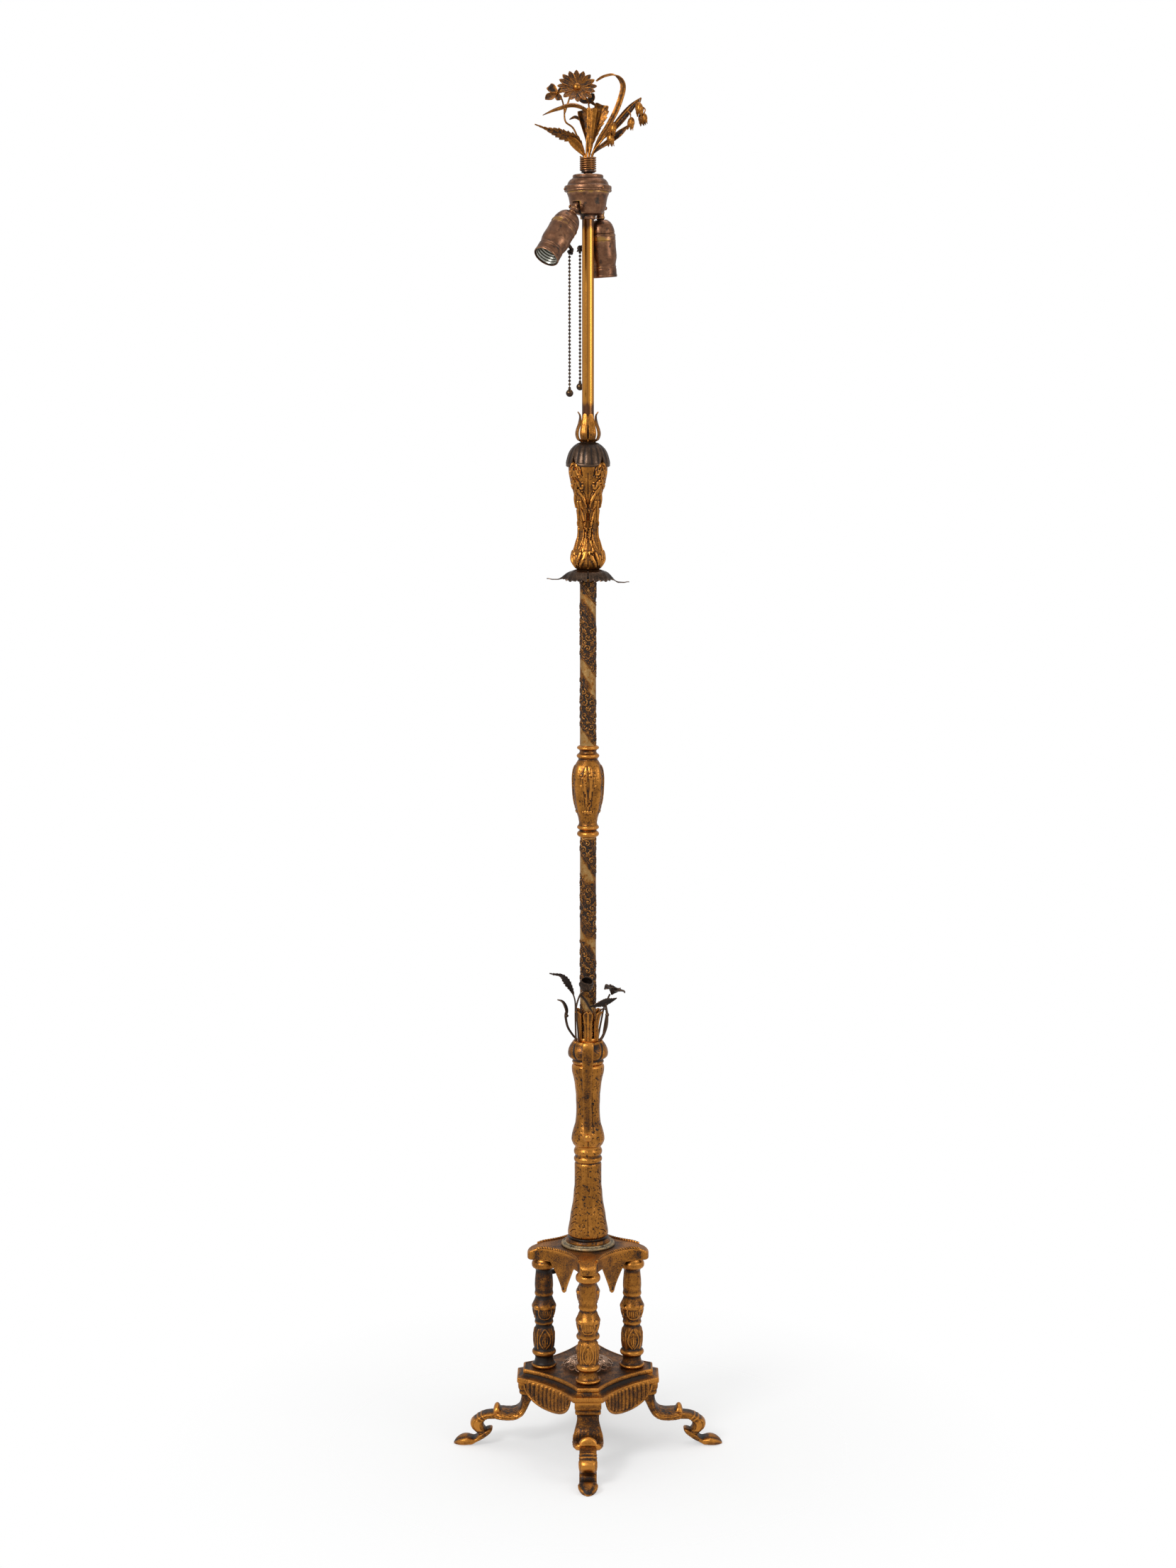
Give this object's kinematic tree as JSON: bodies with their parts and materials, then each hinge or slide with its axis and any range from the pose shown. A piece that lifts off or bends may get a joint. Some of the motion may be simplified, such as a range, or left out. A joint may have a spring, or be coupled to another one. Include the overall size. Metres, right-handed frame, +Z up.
{
  "type": "candlestick floor lamp",
  "caption": "Candlestick floor lamp on a four-legged openwork base, with two swivelling pull-chain lampholders and a cast flower finial.",
  "frame": {"origin": "on the floor under the shaft axis, at the centre of the four feet", "axes": "+Z up the shaft, -Y towards the front leg, +X towards the right leg"},
  "size_m": [0.338, 0.338, 1.682],
  "materials": {
    "gilt_bronze": "aged satin, dark in the recesses",
    "aged_brass": "aged satin",
    "dark_patina": "dark brown patina, satin",
    "bright_gilt": "worn bright gilding, satin",
    "copper_wire": "satin",
    "mottled_disc": "speckled, matte",
    "copper_patina": "red-brown patina, satin",
    "plated_steel": "satin",
    "screw_shell": "satin",
    "moulded_insulator": "matte",
    "chain_brass": "dark satin"
  },
  "bodies": {
    "stand": {"base_plate": "gilt_bronze", "leg_front": "gilt_bronze", "leg_left": "gilt_bronze", "leg_right": "gilt_bronze", "leg_back": "gilt_bronze", "base_rosette": "copper_wire", "column_front": "aged_brass", "column_left": "aged_brass", "column_right": "aged_brass", "column_back": "aged_brass", "tie_rods": "plated_steel", "tie_nuts": "plated_steel", "top_plate": "gilt_bronze", "plate_washer": "mottled_disc", "lower_shaft": "gilt_bronze", "pot_body": "gilt_bronze", "pot_collar": "gilt_bronze", "pot_handle_front": "gilt_bronze", "pot_handle_back": "gilt_bronze", "calyx": "gilt_bronze", "sprig_long_leaf": "dark_patina", "sprig_curled_leaf": "dark_patina", "sprig_rosebud": "dark_patina", "sprig_trumpet": "dark_patina", "sprig_broad_leaf": "dark_patina", "lower_tube": "dark_patina", "knop": "gilt_bronze", "upper_tube": "dark_patina", "drip_pan": "dark_patina", "vase": "gilt_bronze", "scallop_cap": "dark_patina", "petal_cup": "bright_gilt", "stem_tube": "bright_gilt", "riser_pipe": "plated_steel", "riser_nuts": "plated_steel", "lead_wires": "moulded_insulator", "cord_outlet": "dark_patina", "cluster_body": "copper_patina", "cluster_cap": "copper_patina", "cap_screws": "aged_brass", "swivel_pins": "aged_brass", "finial_stud": "gilt_bronze", "finial_coil": "aged_brass", "bouquet_daisy": "gilt_bronze", "bouquet_leaves": "gilt_bronze", "bouquet_bells": "dark_patina"},
    "left_socket_unit": {"left_arm": "aged_brass", "left_socket_cap": "copper_patina", "left_socket_shell": "copper_patina", "left_screw_shell": "screw_shell", "left_switch": "moulded_insulator"},
    "left_link": {"left_pull_link": "chain_brass"},
    "left_pull": {"left_chain": "chain_brass"},
    "right_socket_unit": {"right_arm": "aged_brass", "right_socket_cap": "copper_patina", "right_socket_shell": "copper_patina", "right_screw_shell": "screw_shell", "right_switch": "moulded_insulator"},
    "right_link": {"right_pull_link": "chain_brass"},
    "right_pull": {"right_chain": "chain_brass"}
  },
  "joints": [
    {"name": "left_swivel", "type": "hinge", "parent": "stand", "child": "left_socket_unit", "pos_m": [-0.01405, -0.01561, 1.524], "axis": [-0.7431, 0.6691, 0], "range_deg": [-18, 40]},
    {"name": "left_chain_swing", "type": "hinge", "parent": "left_socket_unit", "child": "left_link", "pos_m": [-0.02178, -0.02419, 1.4689], "axis": [-0.7431, 0.6691, 0], "range_deg": [-40, 18]},
    {"name": "left_chain_pull", "type": "slide", "parent": "left_link", "child": "left_pull", "axis": [0, 0, -1], "range_m": [0, 0.008], "stiffness_N_per_m": 120, "springref_m": -0.004},
    {"name": "right_swivel", "type": "hinge", "parent": "stand", "child": "right_socket_unit", "pos_m": [0.01405, 0.01561, 1.524], "axis": [0.7431, -0.6691, 0], "range_deg": [0, 75]},
    {"name": "right_chain_swing", "type": "hinge", "parent": "right_socket_unit", "child": "right_link", "pos_m": [-0.00961, 0.01932, 1.47305], "axis": [0.7431, -0.6691, 0], "range_deg": [-75, 0]},
    {"name": "right_chain_pull", "type": "slide", "parent": "right_link", "child": "right_pull", "axis": [0, 0, -1], "range_m": [0, 0.008], "stiffness_N_per_m": 120, "springref_m": -0.004}
  ],
  "couplings": [
    {"joint": "left_chain_swing", "follows": "left_swivel", "ratio": -1},
    {"joint": "right_chain_swing", "follows": "right_swivel", "ratio": -1}
  ]
}
